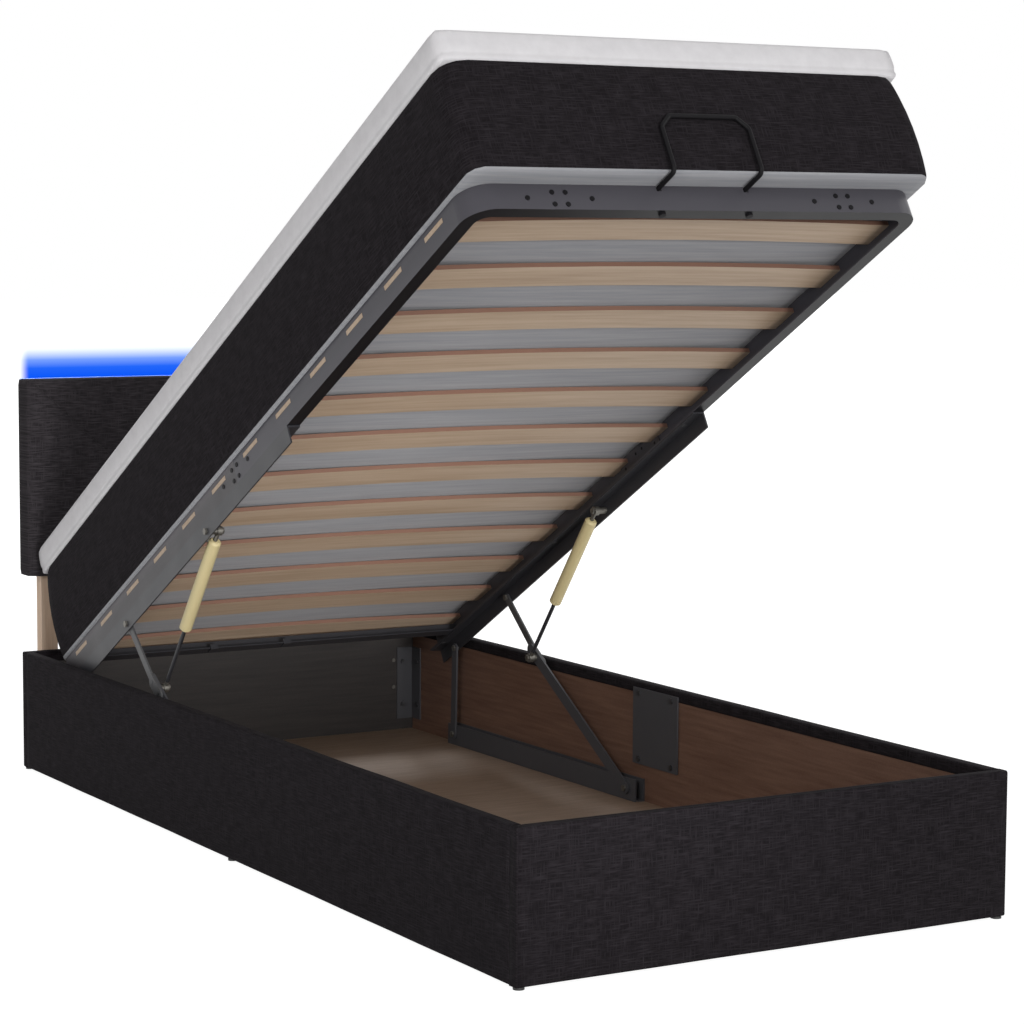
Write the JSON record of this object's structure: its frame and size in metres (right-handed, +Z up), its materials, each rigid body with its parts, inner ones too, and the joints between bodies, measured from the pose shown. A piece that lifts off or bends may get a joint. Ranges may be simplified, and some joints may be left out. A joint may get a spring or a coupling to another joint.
{
  "type": "ottoman storage bed",
  "caption": "Single fabric ottoman bed with padded headboard, storage box under a gas-lifted slatted platform, and mattress with topper.",
  "frame": {"origin": "on the floor under the middle of the base box: halfway across it and halfway along it", "axes": "+X across the bed, to the right seen from the foot; +Y from the foot to the headboard; +Z up"},
  "size_m": [0.93, 2.0885, 1.4161],
  "materials": {
    "charcoal_fabric": "matte",
    "brown_board": "matte",
    "floor_board": "matte",
    "pine": "matte",
    "birch_slat": "satin",
    "grey_steel": "satin",
    "dark_steel": "satin",
    "bare_steel": "satin",
    "cream_cylinder": "satin",
    "black_plastic": "matte",
    "light_cover": "satin",
    "mattress_fabric": "matte",
    "topper_fabric": "matte"
  },
  "bodies": {
    "base": {"base_rail_left": "dark_steel", "base_rail_right": "dark_steel", "base_screws": "bare_steel", "corner_angles": "dark_steel", "floor_battens": "pine", "foot_board": "brown_board", "foot_cover": "charcoal_fabric", "foot_pivots": "bare_steel", "glides": "black_plastic", "head_board": "brown_board", "head_cover": "charcoal_fabric", "headboard_core": "brown_board", "headboard_cover": "charcoal_fabric", "headboard_legs": "pine", "joint_plates": "dark_steel", "leg_bolts": "bare_steel", "leg_packers": "pine", "light_diffuser": "light_cover", "light_profile": "bare_steel", "side_board_foot_left": "brown_board", "side_board_foot_right": "brown_board", "side_board_head_left": "brown_board", "side_board_head_right": "brown_board", "side_cover_left": "charcoal_fabric", "side_cover_right": "charcoal_fabric", "storage_floor_foot": "floor_board", "storage_floor_head": "floor_board"},
    "arms": {"lower_arm_left": "dark_steel", "lower_arm_right": "dark_steel", "arm_link_left": "grey_steel", "arm_link_right": "grey_steel", "arm_rivets": "bare_steel"},
    "rear_links": {"rear_link_left": "dark_steel", "rear_link_right": "dark_steel", "rear_link_pins": "bare_steel"},
    "platform": {"upper_rail_left": "dark_steel", "upper_rail_right": "dark_steel", "upper_rail_bolts": "bare_steel", "upper_pivots": "bare_steel", "side_rail_left": "grey_steel", "side_rail_right": "grey_steel", "corner_rail_left": "grey_steel", "corner_rail_right": "grey_steel", "front_bar": "grey_steel", "back_bar": "dark_steel", "back_bar_clips": "dark_steel", "splice_plates": "grey_steel", "splice_bolts": "bare_steel", "slats": "birch_slat", "handle": "dark_steel", "handle_bolts": "bare_steel", "mattress": "mattress_fabric", "mattress_topper": "topper_fabric"},
    "strut_cylinders": {"strut_cylinder_left": "cream_cylinder", "strut_cylinder_right": "cream_cylinder", "strut_top_eyes": "bare_steel"},
    "strut_rods": {"strut_rod_left": "dark_steel", "strut_rod_right": "dark_steel", "strut_foot_eyes": "bare_steel", "knee_pins": "bare_steel"}
  },
  "joints": [
    {"name": "arm_swing", "type": "hinge", "parent": "base", "child": "arms", "pos_m": [0, 0.071, 0.036], "axis": [1, 0, 0], "range_deg": [-17.7, 0]},
    {"name": "platform_tilt", "type": "hinge", "parent": "arms", "child": "platform", "pos_m": [0, 0.54052, 0.35815], "axis": [1, 0, 0], "range_deg": [0, 47.31], "stiffness_Nm_per_rad": 100, "springref_deg": -171.89},
    {"name": "rear_link_swing", "type": "hinge", "parent": "base", "child": "rear_links", "pos_m": [0, 0.76036, 0.036], "axis": [1, 0, 0], "range_deg": [-36.6, 0]},
    {"name": "strut_swing", "type": "hinge", "parent": "platform", "child": "strut_cylinders", "pos_m": [0, 0.16354, 0.57318], "axis": [1, 0, 0], "range_deg": [0, 9.7]},
    {"name": "strut_stroke", "type": "slide", "parent": "strut_cylinders", "child": "strut_rods", "axis": [0, 0.6083, -0.7937], "range_m": [-0.123, 0]}
  ],
  "couplings": [
    {"joint": "arm_swing", "follows": "platform_tilt", "ratio": -0.37223},
    {"joint": "rear_link_swing", "follows": "platform_tilt", "ratio": -0.77287},
    {"joint": "strut_swing", "follows": "platform_tilt", "ratio": 0.20428},
    {"joint": "strut_stroke", "follows": "platform_tilt", "m_per_rad": -0.14829}
  ]
}
